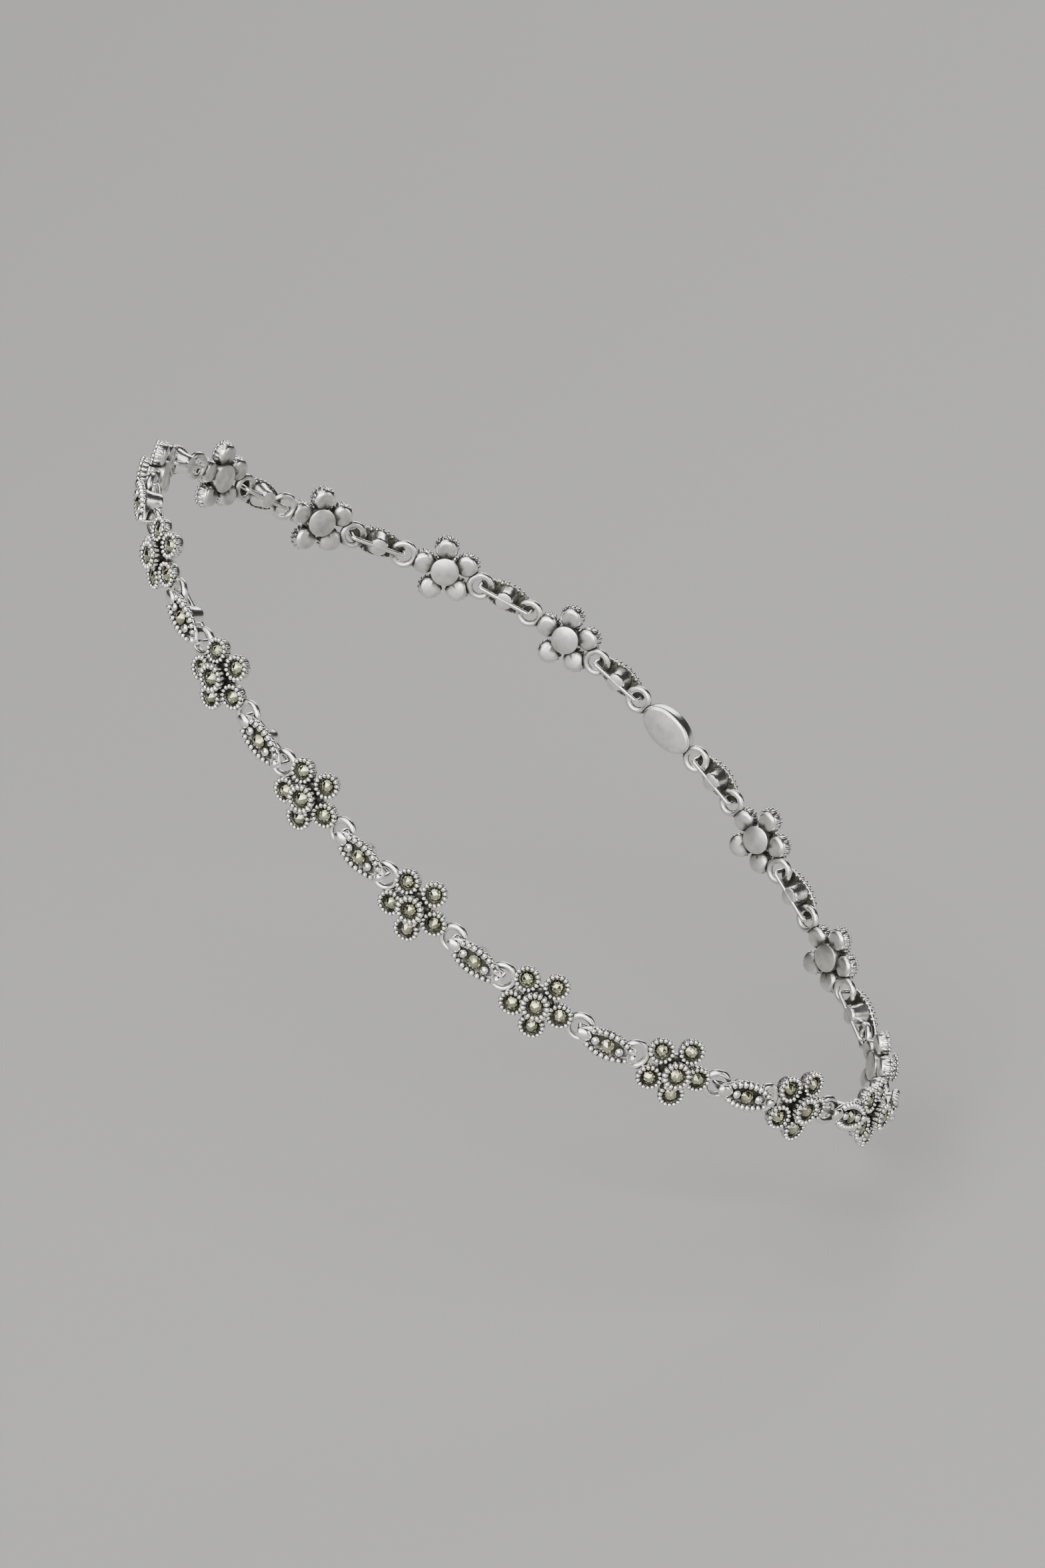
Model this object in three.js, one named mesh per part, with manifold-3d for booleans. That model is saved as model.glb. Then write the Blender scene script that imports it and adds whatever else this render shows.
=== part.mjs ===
// A silver and marcasite anklet: five-petalled flower links hooked to pointed navette links, with a plain
// clasp. Millimetres, +Z up. The origin is the middle of the ankle that the chain goes round.

import * as THREE from 'three';
import { mergeVertices } from 'three/addons/utils/BufferGeometryUtils.js';
import Module from 'manifold-3d';

const wasm = await Module();
wasm.setup();

// The chain: flowers and navettes in turn, with the clasp in one flower's place at the back of the leg.
const PAIRS = 17;
const PITCH = 14.5; // from one flower's middle to the next
const CLASP_PAIR = 11; // counted from the first flower, at the left of the front

// The loop as worn. It slopes down from the left of the ankle to the right, and its front sags.
// Lengths here are parts of the loop's half width, which is worked out from the chain's length.
const LOOP = {
  depth: 0.762, // half depth, front to back
  fullness: 2.26, // 2 is an ellipse, and more is squarer
  turn: THREE.MathUtils.degToRad(-25.9), // of the oval, seen from above
  fall: Math.tan(THREE.MathUtils.degToRad(37.4)),
  rise: 0.4, // of the front where it leaves the sides
  sag: 0.41, // of the front at its middle
};
const FIRST_FLOWER = 22.9; // its distance along the chain from the left side
const LOOP_STEPS = 4000;

// The leg leans to the right at its top, and the links' faces stand square to its surface.
const LEG_LEAN = THREE.MathUtils.degToRad(10);
const LEG_AXIS = new THREE.Vector3(Math.sin(LEG_LEAN), 0, Math.cos(LEG_LEAN));

// Every flower has an eye at both ends: a flat ring of round wire, level with the link's middle plane.
const EYE = { wire: 0.7, hole: 1.6, sides: 6, steps: 10 };
const EYE_RADIUS = (EYE.hole + EYE.wire) / 2;
const PETAL_END = 4.65; // from the flower's middle to the eye past its petal
const GAP_END = 4.0; // and to the eye tucked between two petals

const FLOWER = {
  petals: 5,
  circle: 2.36, // radius that the petals' middles lie on
  petal: 1.3, // a petal's radius
  heart: 1.5, // radius of the round plate that the petals grow from
  cup: 1.35, // the raised middle cup's radius at its rim
  cupFoot: 1.0, // and where it stands on the petals
  back: -0.5,
  petalTop: 0.95,
  cupBottom: 0.5, // sunk in the plate, which hides it
  cupTop: 2.2,
  petalSteps: 7,
  cupSides: 10,
};

const NAVETTE = {
  halfLength: 3.1,
  halfWidth: 1.45,
  tip: 0.34, // half width of the blunt end
  arcSteps: 5,
  plateBottom: 0.75,
  plateTop: 1.45,
  coreHalfLength: 1.05,
  coreSteps: 2,
  coreInset: 0.12, // of the core's sides under the plate's edge
  back: -1.1,
};
// A hook at each end goes down through an eye and back under it.
const HOOK = { width: 0.46, barTop: -0.65 };

// The body of the clasp, which is hidden when worn.
const CLASP = { halfLength: 3.1, halfWidth: 1.9, back: -0.6, top: 1.2, bevel: 0.35, steps: 6 };

// Links turn on each other where a hook bears on the far inner edge of an eye.
const BEARING = EYE.hole / 2;
const FLOWER_REACH = { start: GAP_END + BEARING, end: PETAL_END + BEARING };
const NAVETTE_REACH = (PITCH - FLOWER_REACH.start - FLOWER_REACH.end) / 2;
const HOOK_AT = NAVETTE_REACH + BEARING; // the middle of the eye that a hook stands in
const CLASP_EYE = (GAP_END + PETAL_END) / 2;

// Set links look darker than the plain clasp, because dark stones and blackened recesses fill most of them.
const SET_SILVER = new THREE.MeshStandardMaterial({ color: 0x9f9e90, roughness: 0.35, metalness: 1 });
const PLAIN_SILVER = new THREE.MeshStandardMaterial({ color: 0xd3d2cb, roughness: 0.22, metalness: 1 });

function toSolid(geometry) {
  geometry.deleteAttribute('normal');
  geometry.deleteAttribute('uv');
  const merged = mergeVertices(geometry);
  const vertProperties = new Float32Array(merged.attributes.position.array);
  const triVerts = new Uint32Array(merged.index.array);
  return new wasm.Manifold(new wasm.Mesh({ numProp: 3, vertProperties, triVerts }));
}

function toGeometry(solid) {
  const { vertProperties, triVerts } = solid.getMesh();
  const geometry = new THREE.BufferGeometry();
  geometry.setAttribute('position', new THREE.BufferAttribute(vertProperties, 3));
  geometry.setIndex(new THREE.BufferAttribute(triVerts, 1));
  geometry.computeVertexNormals();
  return geometry;
}

function join(geometries) {
  return toGeometry(geometries.map(toSolid).reduce((whole, piece) => whole.add(piece)));
}

function drum(foot, rim, sides, bottom, top) {
  const geometry = new THREE.CylinderGeometry(rim, foot, top - bottom, sides);
  geometry.rotateX(Math.PI / 2);
  geometry.translate(0, 0, (top + bottom) / 2);
  return geometry;
}

function box(xMin, xMax, width, bottom, top) {
  const geometry = new THREE.BoxGeometry(xMax - xMin, width, top - bottom);
  geometry.translate((xMin + xMax) / 2, 0, (top + bottom) / 2);
  return geometry;
}

function prism(points, bottom, top) {
  const outline = new THREE.Shape(points);
  const geometry = new THREE.ExtrudeGeometry(outline, { depth: top - bottom, bevelEnabled: false });
  geometry.translate(0, 0, bottom);
  return geometry;
}

function eye(x) {
  const geometry = new THREE.TorusGeometry(EYE_RADIUS, EYE.wire / 2, EYE.sides, EYE.steps);
  geometry.translate(x, 0, 0);
  return geometry;
}

// Round petals on a round heart. Each petal's arc starts and ends where its circle meets the heart's.
function petalOutline() {
  const { circle, petal, heart, petals, petalSteps } = FLOWER;
  const meetX = (circle ** 2 + heart ** 2 - petal ** 2) / (2 * circle);
  const meetY = Math.sqrt(heart ** 2 - meetX ** 2);
  const halfArc = Math.atan2(meetY, meetX - circle);
  const outline = [];
  for (let i = 0; i < petals; i += 1) {
    const towards = (i / petals) * 2 * Math.PI;
    const middle = new THREE.Vector2(circle, 0).rotateAround(new THREE.Vector2(), towards);
    for (let step = 0; step <= petalSteps; step += 1) {
      const angle = towards + halfArc * ((2 * step) / petalSteps - 1);
      outline.push(new THREE.Vector2(Math.cos(angle), Math.sin(angle)).multiplyScalar(petal).add(middle));
    }
  }
  return outline;
}

// One petal points along the chain, and the eye at the other end lies between two petals.
function flowerGeometry() {
  return join([
    prism(petalOutline(), FLOWER.back, FLOWER.petalTop),
    drum(FLOWER.cupFoot, FLOWER.cup, FLOWER.cupSides, FLOWER.cupBottom, FLOWER.cupTop),
    eye(PETAL_END),
    eye(-GAP_END),
  ]);
}

// Half the width of the pointed oval at a place along it: an arc through both tips and the widest point.
function navetteHalfWidth(x) {
  const bulge = NAVETTE.halfWidth - NAVETTE.tip;
  const radius = (NAVETTE.halfLength ** 2 + bulge ** 2) / (2 * bulge);
  return NAVETTE.halfWidth - radius + Math.sqrt(radius ** 2 - x ** 2);
}

function navetteOutline(halfLength, steps, inset) {
  const stations = Array.from({ length: steps + 1 }, (_, i) => halfLength * ((2 * i) / steps - 1));
  const side = stations.map((x) => new THREE.Vector2(x, -(navetteHalfWidth(x) - inset)));
  const otherSide = side.map(({ x, y }) => new THREE.Vector2(-x, -y));
  return [...side, ...otherSide];
}

function navetteGeometry() {
  const plate = navetteOutline(NAVETTE.halfLength, NAVETTE.arcSteps, 0);
  const core = navetteOutline(NAVETTE.coreHalfLength, NAVETTE.coreSteps, NAVETTE.coreInset);
  const hookStart = HOOK_AT - HOOK.width / 2;
  const hookEnd = HOOK_AT + HOOK.width / 2;
  return join([
    prism(plate, NAVETTE.plateBottom, NAVETTE.plateTop),
    prism(core, NAVETTE.back, NAVETTE.plateTop),
    box(-hookEnd, hookEnd, HOOK.width, NAVETTE.back, HOOK.barTop),
    box(-hookEnd, -hookStart, HOOK.width, NAVETTE.back, NAVETTE.plateTop),
    box(hookStart, hookEnd, HOOK.width, NAVETTE.back, NAVETTE.plateTop),
  ]);
}

function claspGeometry() {
  const outline = new THREE.Shape();
  outline.absellipse(0, 0, CLASP.halfLength - CLASP.bevel, CLASP.halfWidth - CLASP.bevel, 0, 2 * Math.PI);
  const body = new THREE.ExtrudeGeometry(outline, {
    depth: CLASP.top - CLASP.back - 2 * CLASP.bevel,
    bevelThickness: CLASP.bevel,
    bevelSize: CLASP.bevel,
    bevelSegments: 1,
    curveSegments: CLASP.steps,
  });
  body.translate(0, 0, CLASP.back + CLASP.bevel);
  return join([body, eye(CLASP_EYE), eye(-CLASP_EYE)]);
}

// The chain's middle line. It starts at the left side and crosses the front first.
class AnkleLoop extends THREE.Curve {
  constructor(halfWidth) {
    super();
    this.halfWidth = halfWidth;
    this.arcLengthDivisions = LOOP_STEPS;
  }

  getPoint(u, target = new THREE.Vector3()) {
    const along = Math.cos(2 * Math.PI * u);
    const across = Math.sin(2 * Math.PI * u);
    const power = (value) => Math.sign(value) * Math.abs(value) ** (2 / LOOP.fullness);
    const x = -power(along);
    const y = -LOOP.depth * power(across);
    const front = LOOP.rise * across - LOOP.sag * across ** 2;
    const back = LOOP.rise * across * along ** 2;
    target.set(x, y, -LOOP.fall * x + (across > 0 ? front : back));
    target.applyAxisAngle(new THREE.Vector3(0, 0, 1), LOOP.turn);
    return target.multiplyScalar(this.halfWidth);
  }

  atDistance(distance) {
    const length = this.getLength();
    return this.getPointAt(THREE.MathUtils.euclideanModulo(distance, length) / length);
  }
}

const loop = new AnkleLoop((PAIRS * PITCH) / new AnkleLoop(1).getLength());

// A link lies between two bearing points of the chain, with its face turned square out from the leg.
function placedLink(name, geometry, material, start, end, reach) {
  const along = end.clone().sub(start).normalize();
  const outward = along.clone().cross(LEG_AXIS).normalize();
  const up = outward.clone().cross(along);
  const link = new THREE.Mesh(geometry, material);
  link.name = name;
  link.quaternion.setFromRotationMatrix(new THREE.Matrix4().makeBasis(along, up, outward));
  link.position.copy(start).addScaledVector(along, reach);
  return link;
}

const flowerShape = flowerGeometry();
const navetteShape = navetteGeometry();
const claspShape = claspGeometry();

const anklet = new THREE.Group();
let flowers = 0;
for (let pair = 0; pair < PAIRS; pair += 1) {
  const middle = FIRST_FLOWER + pair * PITCH;
  const start = loop.atDistance(middle - FLOWER_REACH.start);
  const end = loop.atDistance(middle + FLOWER_REACH.end);
  const nextStart = loop.atDistance(middle + PITCH - FLOWER_REACH.start);
  if (pair === CLASP_PAIR) {
    const reach = CLASP_EYE + BEARING;
    anklet.add(placedLink('clasp', claspShape, PLAIN_SILVER, start, end, reach));
  } else {
    flowers += 1;
    const name = `flower_${String(flowers).padStart(2, '0')}`;
    anklet.add(placedLink(name, flowerShape, SET_SILVER, start, end, FLOWER_REACH.start));
  }
  const name = `navette_${String(pair + 1).padStart(2, '0')}`;
  anklet.add(placedLink(name, navetteShape, SET_SILVER, end, nextStart, NAVETTE_REACH));
}

export default anklet;
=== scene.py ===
# A silver and marcasite anklet: cast flower and navette links with beaded rims, and a plain clasp.
# Links are modelled in millimetres in their own axes, x along the chain and z out from the leg,
# and then carried to the places that the frame gives them.
import math
import random

import bmesh
import bpy
from mathutils import Matrix, Vector
from mathutils.bvhtree import BVHTree


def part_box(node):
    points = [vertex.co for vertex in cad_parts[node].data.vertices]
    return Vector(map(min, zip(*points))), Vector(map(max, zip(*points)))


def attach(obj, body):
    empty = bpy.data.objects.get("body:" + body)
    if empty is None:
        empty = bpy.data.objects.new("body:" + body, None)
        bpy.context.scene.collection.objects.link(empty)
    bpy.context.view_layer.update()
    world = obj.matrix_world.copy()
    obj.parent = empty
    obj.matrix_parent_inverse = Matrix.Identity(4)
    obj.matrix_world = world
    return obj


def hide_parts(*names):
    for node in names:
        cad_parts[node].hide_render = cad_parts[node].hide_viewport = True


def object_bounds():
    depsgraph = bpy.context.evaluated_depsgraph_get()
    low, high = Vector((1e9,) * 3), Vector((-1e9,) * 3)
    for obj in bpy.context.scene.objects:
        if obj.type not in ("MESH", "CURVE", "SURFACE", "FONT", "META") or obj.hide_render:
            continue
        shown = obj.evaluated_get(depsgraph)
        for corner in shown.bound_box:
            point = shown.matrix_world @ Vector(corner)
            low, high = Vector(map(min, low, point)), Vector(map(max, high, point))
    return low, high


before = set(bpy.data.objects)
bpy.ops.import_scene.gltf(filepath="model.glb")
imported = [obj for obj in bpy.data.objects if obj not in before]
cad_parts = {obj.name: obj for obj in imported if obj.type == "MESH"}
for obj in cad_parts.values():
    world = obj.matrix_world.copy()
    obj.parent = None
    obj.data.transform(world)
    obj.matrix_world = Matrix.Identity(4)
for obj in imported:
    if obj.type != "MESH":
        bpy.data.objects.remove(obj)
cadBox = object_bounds()
print("frame loaded:", len(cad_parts), "nodes")

millimetre = 0.001
weldDistance = 1e-5  # in a link's own millimetres
solidWeldDistance = 1e-7  # in the frame's metres
flatWithin = math.radians(0.5)  # faces that meet at less than this are one flat face
turnSteps = 36  # round a turned shape


# Edges that turn by more than the sharp angle, in degrees, stay crisp.
def finishedMesh(bm, name, sharpAngle=38):
    bmesh.ops.remove_doubles(bm, verts=bm.verts, dist=weldDistance)
    bmesh.ops.recalc_face_normals(bm, faces=bm.faces)
    mesh = bpy.data.meshes.new(name)
    bm.to_mesh(mesh)
    bm.free()
    mesh.shade_smooth()
    mesh.set_sharp_from_angle(angle=math.radians(sharpAngle))
    return mesh


def joined(name, shapes):
    bm = bmesh.new()
    for shape, place in shapes:
        start = len(bm.verts)
        bm.from_mesh(shape)
        bm.verts.ensure_lookup_table()
        bmesh.ops.transform(bm, matrix=place, verts=bm.verts[start:])
    mesh = bpy.data.meshes.new(name)
    bm.to_mesh(mesh)
    bm.free()
    return mesh


def at(x=0, y=0, z=0):
    return Matrix.Translation((x, y, z))


def turned(degrees, axis="Z"):
    return Matrix.Rotation(math.radians(degrees), 4, axis)


def stretched(x, y, z):
    return Matrix.Diagonal((x, y, z, 1))


def spunRound(bm, steps):
    outline = bm.verts[:] + bm.edges[:]
    axis = (0, 0, 1)
    bmesh.ops.spin(bm, geom=outline, cent=(0, 0, 0), axis=axis, angle=math.tau, steps=steps, use_merge=True)


# A turned shape from rows of radius and height, which start and end on the axis.
def latheShape(name, rows):
    bm = bmesh.new()
    verts = [bm.verts.new((radius, 0, height)) for radius, height in rows]
    for pair in zip(verts, verts[1:]):
        bm.edges.new(pair)
    spunRound(bm, turnSteps)
    return finishedMesh(bm, name)


def ringShape(name, radius, wire, steps, sides):
    bm = bmesh.new()
    place = at(radius) @ turned(90, "X")
    bmesh.ops.create_circle(bm, segments=sides, radius=wire / 2, matrix=place)
    spunRound(bm, steps)
    return finishedMesh(bm, name)


def bevelled(bm, edges, offset, steps):
    bmesh.ops.bevel(
        bm, geom=edges, offset=offset, affect="EDGES", segments=steps, profile=0.5, material=-1
    )


def isLevel(edge):
    first, second = edge.verts
    return abs(first.co.z - second.co.z) < weldDistance


# Raises a flat face to a plate, and rounds the edges round its top and bottom.
def raisedPlate(bm, rise, rounding, steps):
    grown = bmesh.ops.extrude_face_region(bm, geom=bm.faces[:])["geom"]
    topVerts = [item for item in grown if isinstance(item, bmesh.types.BMVert)]
    bmesh.ops.translate(bm, vec=(0, 0, rise), verts=topVerts)
    bmesh.ops.recalc_face_normals(bm, faces=bm.faces)
    bevelled(bm, [edge for edge in bm.edges if isLevel(edge)], rounding, steps)


# Silver stays black where rubbing doesn't reach. Rays from just above each vertex find how sheltered
# it is, apart from those at a low slant. The side towards the leg, which is never polished, is left
# darker and duller, partly as that unpolished back and partly as painted shade. Reach and lift are in
# millimetres.
aging = {"rays": 48, "reach": 0.8, "lift": 0.015, "slant": 0.12, "backDullnessAndShade": 0.5}


# Directions spread evenly over a ball, each a golden angle on from the last.
def rayFan():
    goldenAngle = math.pi * (3 - math.sqrt(5))
    rays = []
    for i in range(aging["rays"]):
        height = 1 - (2 * i + 1) / aging["rays"]
        flat = math.sqrt(1 - height**2)
        angle = i * goldenAngle
        rays.append(Vector((flat * math.cos(angle), flat * math.sin(angle), height)))
    return rays


def ageAndShade(mesh, *others):
    solid = bmesh.new()
    for shape in (mesh, *others):
        solid.from_mesh(shape)
    tree = BVHTree.FromBMesh(solid)
    solid.free()
    fan = rayFan()
    tarnishAndShade = mesh.attributes.new("tarnishAndShade", "FLOAT", "POINT")
    for vert, spot in zip(mesh.vertices, tarnishAndShade.data):
        start = vert.co + vert.normal * aging["lift"]
        rays = [ray for ray in fan if ray.dot(vert.normal) > aging["slant"]]
        hits = [ray for ray in rays if tree.ray_cast(start, ray, aging["reach"])[0]]
        # Sheltered patina, plus painted shade on the side that faces the leg.
        spot.value = len(hits) / len(rays) + aging["backDullnessAndShade"] * max(0, -vert.normal.z)


# Grains are small balls stretched to size, and so are the thousands of beads, which have fewer faces.
ball = {"grainDivisions": 2, "beadSides": 10, "beadRings": 5}


def grainShape():
    bm = bmesh.new()
    bmesh.ops.create_icosphere(bm, subdivisions=ball["grainDivisions"], radius=1)
    return finishedMesh(bm, "grain", sharpAngle=180)


def beadShape():
    bm = bmesh.new()
    bmesh.ops.create_uvsphere(bm, u_segments=ball["beadSides"], v_segments=ball["beadRings"], radius=1)
    return finishedMesh(bm, "bead", sharpAngle=180)


grainMesh = grainShape()
beadMesh = beadShape()

# Stones are rose cut: a round girdle, six facets to a point and a ring of small ones round them.
# The cut's sizes are shares of the stone's radius.
stoneCut = {
    "girdleSides": 12,
    "crownSides": 6,
    "crownRadius": 0.6,
    "crownHeight": 0.36,
    "pointHeight": 0.62,
    "girdleDepth": 0.16,
    "edge": 0.02,
}


def stoneShape():
    bm = bmesh.new()
    girdle = stoneCut["girdleSides"]
    bmesh.ops.create_circle(bm, segments=girdle, radius=1)
    bmesh.ops.create_circle(bm, segments=girdle, radius=1, matrix=at(z=-stoneCut["girdleDepth"]))
    crown = at(z=stoneCut["crownHeight"])
    bmesh.ops.create_circle(
        bm, segments=stoneCut["crownSides"], radius=stoneCut["crownRadius"], matrix=crown
    )
    bm.verts.new((0, 0, stoneCut["pointHeight"]))
    bmesh.ops.convex_hull(bm, input=bm.verts)
    bmesh.ops.dissolve_limit(bm, angle_limit=flatWithin, verts=bm.verts, edges=bm.edges)
    bmesh.ops.recalc_face_normals(bm, faces=bm.faces)
    bevelled(bm, bm.edges[:], stoneCut["edge"], 1)
    return finishedMesh(bm, "stone", sharpAngle=1)


# How far each vertex lies below the stone's point: the stones are painted darker towards the girdle, a
# painted shade.
def markDepth(mesh):
    depth = mesh.attributes.new("depth", "FLOAT", "POINT")
    for vert, spot in zip(mesh.vertices, depth.data):
        spot.value = 1 - vert.co.z / stoneCut["pointHeight"]


stoneMesh = stoneShape()
markDepth(stoneMesh)

# Flower link: five tilted petal cups round a raised cup, its heart, with an eye at each end.
# A cup is turned from rows of radius and height. Beads stand on its rim, and a rib below each one.
petal = {
    "rows": [
        (0, -0.42),
        (0.7, -0.42),
        (0.98, -0.34),
        (1.13, -0.14),
        (1.18, 0.15),
        (1.21, 0.45),
        (1.21, 0.6),
        (1.16, 0.68),
        (1.06, 0.7),
        (0.92, 0.69),
        (0.85, 0.6),
        (0.82, 0.42),
        (0, 0.42),
    ],
    "beads": 15,
    "bead": (0.26, 0.212, 0.25),
    "beadCircle": 1.08,
    "beadHeight": 0.75,
    "rib": (0.14, 0.17, 0.4),
    "ribCircle": 1.15,
    "ribHeight": 0.38,
    "ribLean": 8,
    "stone": 0.7,
    "stoneHeight": 0.56,
}
heart = {
    "rows": [
        (0, 0.5),
        (0.98, 0.5),
        (1.0, 0.9),
        (1.06, 1.3),
        (1.17, 1.65),
        (1.28, 1.88),
        (1.24, 1.96),
        (1.1, 1.98),
        (0.95, 1.97),
        (0.88, 1.9),
        (0.85, 1.7),
        (0, 1.7),
    ],
    "beads": 15,
    "bead": (0.33, 0.222, 0.25),
    "beadCircle": 1.16,
    "beadHeight": 2.03,
    "rib": (0.15, 0.19, 0.62),
    "ribCircle": 1.18,
    "ribHeight": 1.52,
    "ribLean": 14,
    "stone": 0.72,
    "stoneHeight": 1.83,
}
flower = {
    "petals": 5,
    "petalCircle": 2.36,
    "petalTilt": 8,
    "petalLift": 0.04,
    "baseRows": [
        (0, -0.5),
        (1.3, -0.5),
        (1.46, -0.42),
        (1.5, -0.2),
        (1.5, 0.45),
        (1.4, 0.6),
        (1.0, 0.62),
        (0, 0.62),
    ],
}
# Eyes are rings of wire, centred this far from the flower's middle: past a petal, and in a gap.
eye = {"wire": 0.7, "hole": 1.6, "petalEnd": 4.65, "gapEnd": 4.0, "steps": 40, "sides": 14}
eyeMesh = ringShape("eye", (eye["hole"] + eye["wire"]) / 2, eye["wire"], eye["steps"], eye["sides"])


def ringOf(count, bead):
    return [(beadMesh, turned(i * 360 / count) @ bead) for i in range(count)]


def cupParts(name, cup):
    bead = at(cup["beadCircle"], 0, cup["beadHeight"]) @ stretched(*cup["bead"])
    rib = at(cup["ribCircle"], 0, cup["ribHeight"]) @ turned(cup["ribLean"], "Y") @ stretched(*cup["rib"])
    parts = [(latheShape(name, cup["rows"]), at())]
    return parts + ringOf(cup["beads"], bead) + ringOf(cup["beads"], rib)


def petalPlace(index):
    out = turned(index * 360 / flower["petals"]) @ at(flower["petalCircle"], 0, flower["petalLift"])
    return out @ turned(flower["petalTilt"], "Y")


def flowerShape():
    shapes = [(latheShape("flowerBase", flower["baseRows"]), at())] + cupParts("heart", heart)
    shapes += [(eyeMesh, at(eye["petalEnd"])), (eyeMesh, at(-eye["gapEnd"]))]
    petalParts = cupParts("petal", petal)
    for index in range(flower["petals"]):
        shapes += [(part, petalPlace(index) @ place) for part, place in petalParts]
    return joined("flower", shapes)


def stonePlace(cup):
    size = cup["stone"]
    return at(z=cup["stoneHeight"]) @ stretched(size, size, size)


def flowerStonePlaces():
    return [petalPlace(index) @ stonePlace(petal) for index in range(flower["petals"])] + [stonePlace(heart)]


# Navette link: a pointed oval plate with a beaded edge, hooked down through its neighbours' eyes.
# A long low lump, the tongue, covers one hook, and a round one, the knob, the other. A round core
# joins the plate to the bar between the hooks.
navette = {
    "halfLength": 3.1,
    "halfWidth": 1.45,
    "tip": 0.34,  # half as wide as the oval's blunt ends
    "solidTop": 1.45,  # where the flat face of the frame's solid lies
    "plateBottom": 0.75,
    "plateTop": 1.06,
    "plateRound": 0.12,
    "plateRoundSteps": 3,
    "floorDrop": 0.11,
    "floorLength": 0.7,
    "floorWidth": 0.6,
    "sideSteps": 24,
    "edgeBeads": 8,
    "edgeBead": (0.3, 0.44, 0.44),
    "edgeBeadInset": 0.31,
    "edgeBeadHeight": 1.06,
    "edgeBeadSpan": (-1.82, 2.14),
    "edgeBeadTaper": 0.22,  # how much smaller they are at the ends
    "stone": 0.7,
    "stoneHeight": 1.2,
    "grain": (0.42, 0.44, 0.38),
    "grainAt": 1.25,
    "grainHeight": 1.2,
    "tongue": (0.84, 0.64, 0.34),
    "tongueAt": -2.45,
    "tongueHeight": 1.1,
    "knob": (0.42, 0.45, 0.4),
    "knobAt": 2.7,
    "knobHeight": 1.16,
    "wire": 0.46,
    "wireSides": 14,
    "hookAt": 2.925,
    "hookTop": 1.1,
    "barHeight": -0.87,
    "cornerRadius": 0.32,
    "cornerSteps": 6,
    "coreRows": [
        (0, -1.08),
        (0.5, -1.08),
        (0.63, -1.04),
        (0.7, -0.93),
        (0.74, -0.6),
        (0.82, 0),
        (0.95, 0.5),
        (1, 0.9),
        (0, 0.9),
    ],
    "coreStretch": (1.3, 1.3, 1),
}
# Each side of the oval is one arc, from a blunt end across the middle to the other.
sideRise = navette["halfWidth"] - navette["tip"]
sideRadius = (navette["halfLength"] ** 2 + sideRise**2) / (2 * sideRise)
sideCentre = navette["halfWidth"] - sideRadius


# One side is spun and mirrored, the oval is raised to a plate, and a floor is sunk into its top.
def navettePlateShape():
    bm = bmesh.new()
    length = navette["halfLength"]
    verts = [bm.verts.new((-length, 0, 0)), bm.verts.new((-length, navette["tip"], 0))]
    bm.edges.new(verts)
    spun = bmesh.ops.spin(
        bm,
        geom=verts[1:],
        cent=(0, sideCentre, 0),
        axis=(0, 0, -1),
        angle=2 * math.asin(length / sideRadius),
        steps=navette["sideSteps"],
    )["geom_last"]
    bm.edges.new((spun[0], bm.verts.new((length, 0, 0))))
    bmesh.ops.mirror(bm, geom=bm.verts[:] + bm.edges[:], axis="Y", merge_dist=weldDistance)
    bmesh.ops.edgeloop_fill(bm, edges=bm.edges[:])
    bmesh.ops.translate(bm, vec=(0, 0, navette["plateBottom"]), verts=bm.verts)
    rise = navette["plateTop"] - navette["plateBottom"]
    raisedPlate(bm, rise, navette["plateRound"], navette["plateRoundSteps"])
    top = max(bm.faces, key=lambda face: face.calc_center_median().z * face.calc_area())
    for move in (stretched(navette["floorLength"], navette["floorWidth"], 1), at(z=-navette["floorDrop"])):
        grown = bmesh.ops.extrude_face_region(bm, geom=[top])["geom"]
        bmesh.ops.delete(bm, geom=[top], context="FACES_ONLY")
        top = next(item for item in grown if isinstance(item, bmesh.types.BMFace))
        bmesh.ops.transform(bm, matrix=move, verts=top.verts)
    return finishedMesh(bm, "navettePlate")


# Carries a sweep's end face on by an extrusion or a spin, and gives its new end face.
def sweptOn(bm, end, operation, **settings):
    made = operation(bm, geom=[end], **settings)
    bmesh.ops.delete(bm, geom=[end], context="FACES_ONLY")
    last = made.get("geom_last", made.get("geom"))
    return next(item for item in last if isinstance(item, bmesh.types.BMFace))


# The wire of both hooks and the bar between them is one sweep: down, along and up, with two bends.
def navetteWireShape():
    bm = bmesh.new()
    radius = navette["wire"] / 2
    corner = navette["cornerRadius"]
    reach = navette["hookAt"] - corner
    bend = navette["barHeight"] + corner
    drop = navette["hookTop"] - bend
    start = at(-navette["hookAt"], 0, navette["hookTop"])
    bmesh.ops.create_circle(bm, cap_ends=True, segments=navette["wireSides"], radius=radius, matrix=start)
    copied = bmesh.ops.duplicate(bm, geom=bm.faces[:])["geom"]
    end = next(item for item in copied if isinstance(item, bmesh.types.BMFace))
    for way, bendAt in [((0, 0, -drop), -reach), ((2 * reach, 0, 0), reach), ((0, 0, drop), None)]:
        end = sweptOn(bm, end, bmesh.ops.extrude_face_region)
        bmesh.ops.translate(bm, vec=way, verts=end.verts)
        if bendAt is not None:
            about = {"cent": (bendAt, 0, bend), "axis": (0, -1, 0), "angle": math.pi / 2}
            end = sweptOn(bm, end, bmesh.ops.spin, steps=navette["cornerSteps"], **about)
    return finishedMesh(bm, "navetteWire")


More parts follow.
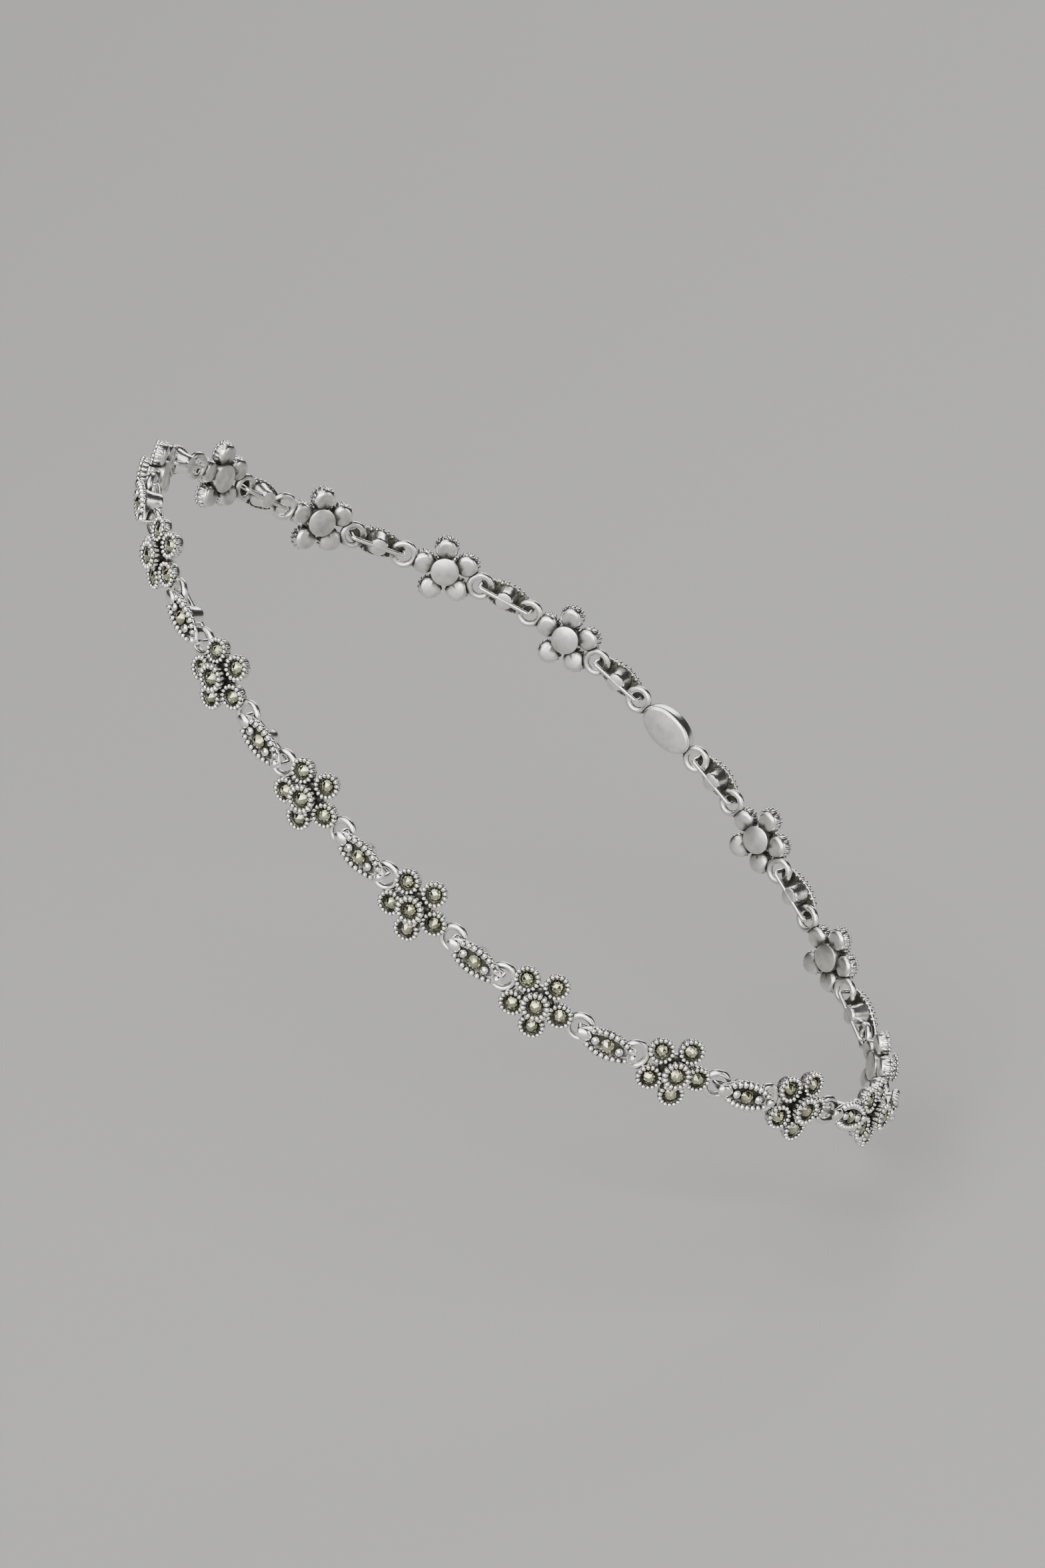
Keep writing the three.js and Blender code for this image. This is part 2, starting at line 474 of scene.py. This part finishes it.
# Beads along one side of the oval, evenly spread round the arc's centre and smaller to the tips.
def edgeBeads(side):
    first, last = navette["edgeBeadSpan"]
    radius = sideRadius - navette["edgeBeadInset"]
    low, high = math.asin(first / radius), math.asin(last / radius)
    along, across, height = navette["edgeBead"]
    beads = []
    for i in range(navette["edgeBeads"]):
        angle = low + (high - low) * i / (navette["edgeBeads"] - 1)
        size = 1 - navette["edgeBeadTaper"] * (angle / high) ** 2
        x = radius * math.sin(angle)
        y = side * (sideCentre + radius * math.cos(angle))
        place = at(x, y, navette["edgeBeadHeight"]) @ turned(-side * math.degrees(angle))
        beads.append((beadMesh, place @ stretched(along * size, across * size, height)))
    return beads


def navetteShape():
    core = latheShape("navetteCore", navette["coreRows"])
    shapes = [(navettePlateShape(), at()), (navetteWireShape(), at())]
    shapes.append((core, stretched(*navette["coreStretch"])))
    shapes += edgeBeads(1) + edgeBeads(-1)
    for side in (-1, 1):
        place = at(side * navette["grainAt"], 0, navette["grainHeight"])
        shapes.append((grainMesh, place @ stretched(*navette["grain"])))
    for part in ("tongue", "knob"):
        place = at(navette[part + "At"], 0, navette[part + "Height"])
        shapes.append((grainMesh, place @ stretched(*navette[part])))
    return joined("navette", shapes)


# Clasp: a plain polished oval case with an eye at each end.
clasp = {
    "halfLength": 3.1,
    "halfWidth": 1.9,
    "back": -0.6,
    "top": 1.2,
    "round": 0.42,
    "roundSteps": 5,
    "sides": 64,
}


def claspShape():
    bm = bmesh.new()
    bmesh.ops.create_circle(bm, cap_ends=True, segments=clasp["sides"], radius=1, matrix=at(z=clasp["back"]))
    bmesh.ops.scale(bm, vec=(clasp["halfLength"], clasp["halfWidth"], 1), verts=bm.verts)
    raisedPlate(bm, clasp["top"] - clasp["back"], clasp["round"], clasp["roundSteps"])
    body = finishedMesh(bm, "claspBody")
    eyeAt = (eye["petalEnd"] + eye["gapEnd"]) / 2
    return joined("clasp", [(body, at()), (eyeMesh, at(eyeAt)), (eyeMesh, at(-eyeAt))])


# A link's place, its axes and middle, is worked out from the flat faces and ends of its solid. This
# is a copy of the solid with its loose triangles merged and its flat faces whole.
def solidOf(node):
    bm = bmesh.new()
    bm.from_mesh(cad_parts[node].data)
    bmesh.ops.remove_doubles(bm, verts=bm.verts, dist=solidWeldDistance)
    bmesh.ops.dissolve_limit(bm, angle_limit=flatWithin, verts=bm.verts, edges=bm.edges)
    return bm


def middleOf(node):
    low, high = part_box(node)
    return (low + high) / 2


# A link's largest flat face looks straight out from the leg, or straight in at it.
def outwardFrom(bm, node):
    flat = max(bm.faces, key=lambda face: face.calc_area())
    outward = flat.normal.normalized()
    if outward.dot(middleOf(node)) < 0:
        outward.negate()
    return flat, outward


def placeFrom(middle, along, outward):
    across = outward.cross(along)
    turn = Matrix((along, across, outward)).transposed().to_4x4()
    return Matrix.Translation(middle) @ turn @ Matrix.Scale(millimetre, 4)


# The ends of a link with eyes are its farthest vertices, and lie on its long axis.
def endsOf(bm):
    middle = sum((vert.co for vert in bm.verts), Vector()) / len(bm.verts)
    first = max(bm.verts, key=lambda vert: (vert.co - middle).length).co.copy()
    second = max(bm.verts, key=lambda vert: (vert.co - first).length).co.copy()
    return first, second


# The raised cup's top is the farthest face out, and the eye past a petal is the farther one from it.
def flowerPlace(node):
    bm = solidOf(node)
    outward = outwardFrom(bm, node)[1]
    petalEnd, gapEnd = endsOf(bm)
    cup = max(bm.faces, key=lambda face: face.calc_center_median().dot(outward)).calc_center_median()
    bm.free()
    if (petalEnd - cup).length < (gapEnd - cup).length:
        petalEnd, gapEnd = gapEnd, petalEnd
    middle = cup - outward * outward.dot(cup - petalEnd)
    return placeFrom(middle, (petalEnd - gapEnd).normalized(), outward)


# The blunt ends of a navette's flat face are the edges that lie farthest from its middle.
def navettePlace(node, following):
    bm = solidOf(node)
    flat, outward = outwardFrom(bm, node)
    flatMiddle = flat.calc_center_bounds()
    halfway = [(edge.verts[0].co + edge.verts[1].co) / 2 for edge in flat.edges]
    first, second = sorted(halfway, key=lambda point: (point - flatMiddle).length)[-2:]
    bm.free()
    along = (second - first).normalized()
    if along.dot(middleOf(following) - middleOf(node)) < 0:
        along.negate()
    middle = (first + second) / 2 - outward * navette["solidTop"] * millimetre
    return placeFrom(middle, along, outward)


def claspPlace(node):
    bm = solidOf(node)
    outward = outwardFrom(bm, node)[1]
    first, second = endsOf(bm)
    bm.free()
    return placeFrom((first + second) / 2, (second - first).normalized(), outward)


# Shader maths as Python expressions.
class Wire:
    def __init__(self, sheet, socket):
        self.sheet = sheet
        self.socket = socket

    def maths(self, operation, first, second):
        return self.sheet.node("ShaderNodeMath", {"operation": operation}, {0: first, 1: second})

    def __add__(self, other):
        return self.maths("ADD", self, other)

    def __radd__(self, other):
        return self.maths("ADD", other, self)

    def __sub__(self, other):
        return self.maths("SUBTRACT", self, other)

    def __rsub__(self, other):
        return self.maths("SUBTRACT", other, self)

    def __mul__(self, other):
        return self.maths("MULTIPLY", self, other)

    def __rmul__(self, other):
        return self.maths("MULTIPLY", other, self)


# A material and its nodes.
class Sheet:
    def __init__(self, name):
        self.material = bpy.data.materials.new(name)
        self.material.use_nodes = True
        self.tree = self.material.node_tree
        self.tree.nodes.clear()

    def node(self, kind, settings=None, inputs=None, output=0):
        made = self.tree.nodes.new(kind)
        for key, value in (settings or {}).items():
            setattr(made, key, value)
        for key, value in (inputs or {}).items():
            if isinstance(value, Wire):
                self.tree.links.new(value.socket, made.inputs[key])
            else:
                made.inputs[key].default_value = value
        return Wire(self, made.outputs[output]) if made.outputs else made

    # A Mix node has sockets of the same names for numbers and for colours, so these go by their order.
    def mixed(self, share, first, second):
        return self.node("ShaderNodeMix", {"data_type": "RGBA"}, {0: share, 6: first, 7: second}, output=2)

    def noise(self, scale, detail):
        place = self.node("ShaderNodeTexCoord", output="Object")
        return self.node("ShaderNodeTexNoise", inputs={"Vector": place, "Scale": scale, "Detail": detail})

    def attribute(self, name):
        return self.node("ShaderNodeAttribute", {"attribute_name": name}, output="Fac")

    def surface(self, inputs):
        shader = self.node("ShaderNodeBsdfPrincipled", inputs=inputs)
        self.node("ShaderNodeOutputMaterial", inputs={"Surface": shader})
        return self.material


noiseMiddle = 0.5

# Scales are per metre: the blotches are about 1.1 mm across, and the grain 0.2 mm.
silverFinish = {
    "bright": (0.9, 0.892, 0.857, 1),
    "blackened": (0.075, 0.075, 0.062, 1),
    "brightRoughness": 0.25,
    "blackRoughness": 0.55,
    "brightUpTo": 0.33,
    "blackFrom": 0.74,
    "blotchScale": 900,
    "blotchDetail": 3,
    "blotchAmount": 0.3,
    "grainScale": 5200,
    "grainDetail": 2,
    "grainHeight": 0.00001,
    "grainStrength": 0.4,
}


def silverMaterial():
    sheet = Sheet("silver")
    blotch = sheet.noise(silverFinish["blotchScale"], silverFinish["blotchDetail"])
    grain = sheet.noise(silverFinish["grainScale"], silverFinish["grainDetail"])
    # The mask holds the patina in the hollows and painted shade on the side facing the leg.
    uneven = sheet.attribute("tarnishAndShade") + (blotch - noiseMiddle) * silverFinish["blotchAmount"]
    dark = sheet.node(
        "ShaderNodeMapRange",
        {"interpolation_type": "SMOOTHSTEP"},
        {
            "Value": uneven,
            "From Min": silverFinish["brightUpTo"],
            "From Max": silverFinish["blackFrom"],
        },
    )
    spread = silverFinish["blackRoughness"] - silverFinish["brightRoughness"]
    bump = sheet.node(
        "ShaderNodeBump",
        inputs={
            "Height": grain,
            "Distance": silverFinish["grainHeight"],
            "Strength": silverFinish["grainStrength"],
        },
    )
    return sheet.surface(
        {
            "Base Color": sheet.mixed(dark, silverFinish["bright"], silverFinish["blackened"]),
            "Roughness": silverFinish["brightRoughness"] + dark * spread,
            "Metallic": 1,
            "Normal": bump,
        }
    )


# Stones differ in tone from one to the next, and are painted darker away from their points, a painted shade
# on their lower facets.
marcasiteFinish = {
    "light": (0.64, 0.645, 0.45, 1),
    "dark": (0.12, 0.12, 0.075, 1),
    "shadeScale": 420,
    "shadeDetail": 2,
    "shadeAmount": 1.1,
    "paintedShadeAmount": 0.95,
    "roughness": 0.17,
}


def marcasiteMaterial():
    sheet = Sheet("marcasite")
    shade = sheet.noise(marcasiteFinish["shadeScale"], marcasiteFinish["shadeDetail"])
    uneven = (shade - noiseMiddle) * marcasiteFinish["shadeAmount"]
    # Painted shade towards the girdle, on top of each stone's random tone.
    dark = sheet.attribute("depth") * marcasiteFinish["paintedShadeAmount"] + uneven
    return sheet.surface(
        {
            "Base Color": sheet.mixed(dark, marcasiteFinish["light"], marcasiteFinish["dark"]),
            "Roughness": marcasiteFinish["roughness"],
            "Metallic": 1,
        }
    )


silver = silverMaterial()
marcasite = marcasiteMaterial()


# A finished piece stands at the origin, with its place in its mesh.
def makePiece(name, mesh, place, material):
    mesh.transform(place)
    mesh.update()
    mesh.materials.append(material)
    piece = bpy.data.objects.new(name, mesh)
    bpy.context.scene.collection.objects.link(piece)
    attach(piece, "root")
    return piece


# Each stone is turned at random and tipped a little in its cup, so no two catch the light alike.
# The angles are in degrees.
setting = {"turn": 180, "tip": 7, "seed": 17}
chance = random.Random(setting["seed"])


def addLink(node, shape, stonePlaces, place):
    metal = makePiece(node + "_silver", shape.copy(), place, silver)
    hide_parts(node)
    if not stonePlaces:
        return
    shapes = []
    for seat in stonePlaces:
        spin = turned(chance.uniform(0, setting["turn"]))
        tip = turned(chance.uniform(-setting["tip"], setting["tip"]), "X")
        shapes.append((stoneMesh, seat @ tip @ spin))
    stones = makePiece(node + "_stones", joined(node + "_stones", shapes), place, marcasite)


flowerMesh = flowerShape()
navetteMesh = navetteShape()
claspMesh = claspShape()
flowerStones = joined("flowerStones", [(stoneMesh, place) for place in flowerStonePlaces()])
navetteStones = joined("navetteStones", [(stoneMesh, stonePlace(navette))])
# Neighbours on a straight chain shelter each other too.
petalSide = eye["petalEnd"] + navette["hookAt"]
gapSide = eye["gapEnd"] + navette["hookAt"]
besideFlower = joined("besideFlower", [(navetteMesh, at(petalSide)), (navetteMesh, at(-gapSide))])
besideNavette = joined("besideNavette", [(eyeMesh, at(side * navette["hookAt"])) for side in (-1, 1)])
ageAndShade(flowerMesh, flowerStones, besideFlower)
ageAndShade(navetteMesh, navetteStones, besideNavette)
ageAndShade(claspMesh)
shapeFaces = [len(shape.polygons) for shape in (flowerMesh, navetteMesh, claspMesh)]
print("link shapes made, with faces:", shapeFaces)

flowerNodes = sorted(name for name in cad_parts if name.startswith("flower"))
navetteNodes = sorted(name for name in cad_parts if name.startswith("navette"))
for name in flowerNodes:
    addLink(name, flowerMesh, flowerStonePlaces(), flowerPlace(name))
for name, following in zip(navetteNodes, navetteNodes[1:] + navetteNodes[:1]):
    addLink(name, navetteMesh, [stonePlace(navette)], navettePlace(name, following))
addLink("clasp", claspMesh, [], claspPlace("clasp"))
print("links placed:", len(flowerNodes), "flowers,", len(navetteNodes), "navettes and the clasp")


# Lengths are in metres, the lens and its sensor in millimetres, and angles in degrees.
studio = {
    "floorGap": 0.006,
    "floorSize": 8,
    "floorColour": (0.36, 0.356, 0.346, 1),
    "floorRoughness": 0.7,
    "world": (0.02, 0.02, 0.021, 1),
    "elevation": 20,
    "lens": 110,
    "sensor": 36,
    "frameWidth": 0.103,
    "frameTallness": 1.5,
    "sunTowards": (-0.35, -0.25, 1),
    "sunSoftness": 60,
    "sunStrength": 1.8,
}
# Each soft light's place, width, height and power.
softLights = {
    "front": ((-0.4, -1.6, 0.84), 2.6, 1.5, 78),
    "side": ((1.2, -0.6, 0.4), 0.5, 0.8, 4),
    "back": ((0.4, 1.6, 0.9), 1.2, 0.8, 12),
}


def makeFloor():
    bm = bmesh.new()
    bmesh.ops.create_grid(bm, x_segments=1, y_segments=1, size=studio["floorSize"] / 2)
    mesh = bpy.data.meshes.new("floor")
    bm.to_mesh(mesh)
    bm.free()
    finish = {"Base Color": studio["floorColour"], "Roughness": studio["floorRoughness"]}
    mesh.materials.append(Sheet("floor").surface(finish))
    floor = bpy.data.objects.new("floor", mesh)
    floor.location = (0, 0, cadBox[0].z - studio["floorGap"])
    bpy.context.scene.collection.objects.link(floor)


def makeSoftLight(name, place, width, height, power):
    data = bpy.data.lights.new(name, "AREA")
    data.shape = "RECTANGLE"
    data.size = width
    data.size_y = height
    data.energy = power
    light = bpy.data.objects.new(name, data)
    light.location = place
    light.rotation_euler = (-Vector(place)).to_track_quat("-Z", "Y").to_euler()
    bpy.context.scene.collection.objects.link(light)


def makeSun():
    data = bpy.data.lights.new("sun", "SUN")
    data.angle = math.radians(studio["sunSoftness"])
    data.energy = studio["sunStrength"]
    sun = bpy.data.objects.new("sun", data)
    sun.rotation_euler = Vector(studio["sunTowards"]).to_track_quat("Z", "Y").to_euler()
    bpy.context.scene.collection.objects.link(sun)


def makeCamera():
    low, high = cadBox
    data = bpy.data.cameras.new("camera")
    data.sensor_width = studio["sensor"]  # it spans the frame's longer side, which is its height
    data.lens = studio["lens"]
    tall = studio["frameWidth"] * studio["frameTallness"]
    distance = tall * data.lens / data.sensor_width
    lift = math.radians(studio["elevation"])
    camera = bpy.data.objects.new("camera", data)
    camera.location = (low + high) / 2 + Vector((0, -math.cos(lift), math.sin(lift))) * distance
    camera.rotation_euler = (math.pi / 2 - lift, 0, 0)
    bpy.context.scene.collection.objects.link(camera)
    bpy.context.scene.camera = camera


def makeWorld():
    world = bpy.data.worlds.new("world")
    world.use_nodes = True
    world.node_tree.nodes["Background"].inputs["Color"].default_value = studio["world"]
    bpy.context.scene.world = world


makeFloor()
makeCamera()
makeSun()
for name, values in softLights.items():
    makeSoftLight(name, *values)
makeWorld()
print("studio ready")
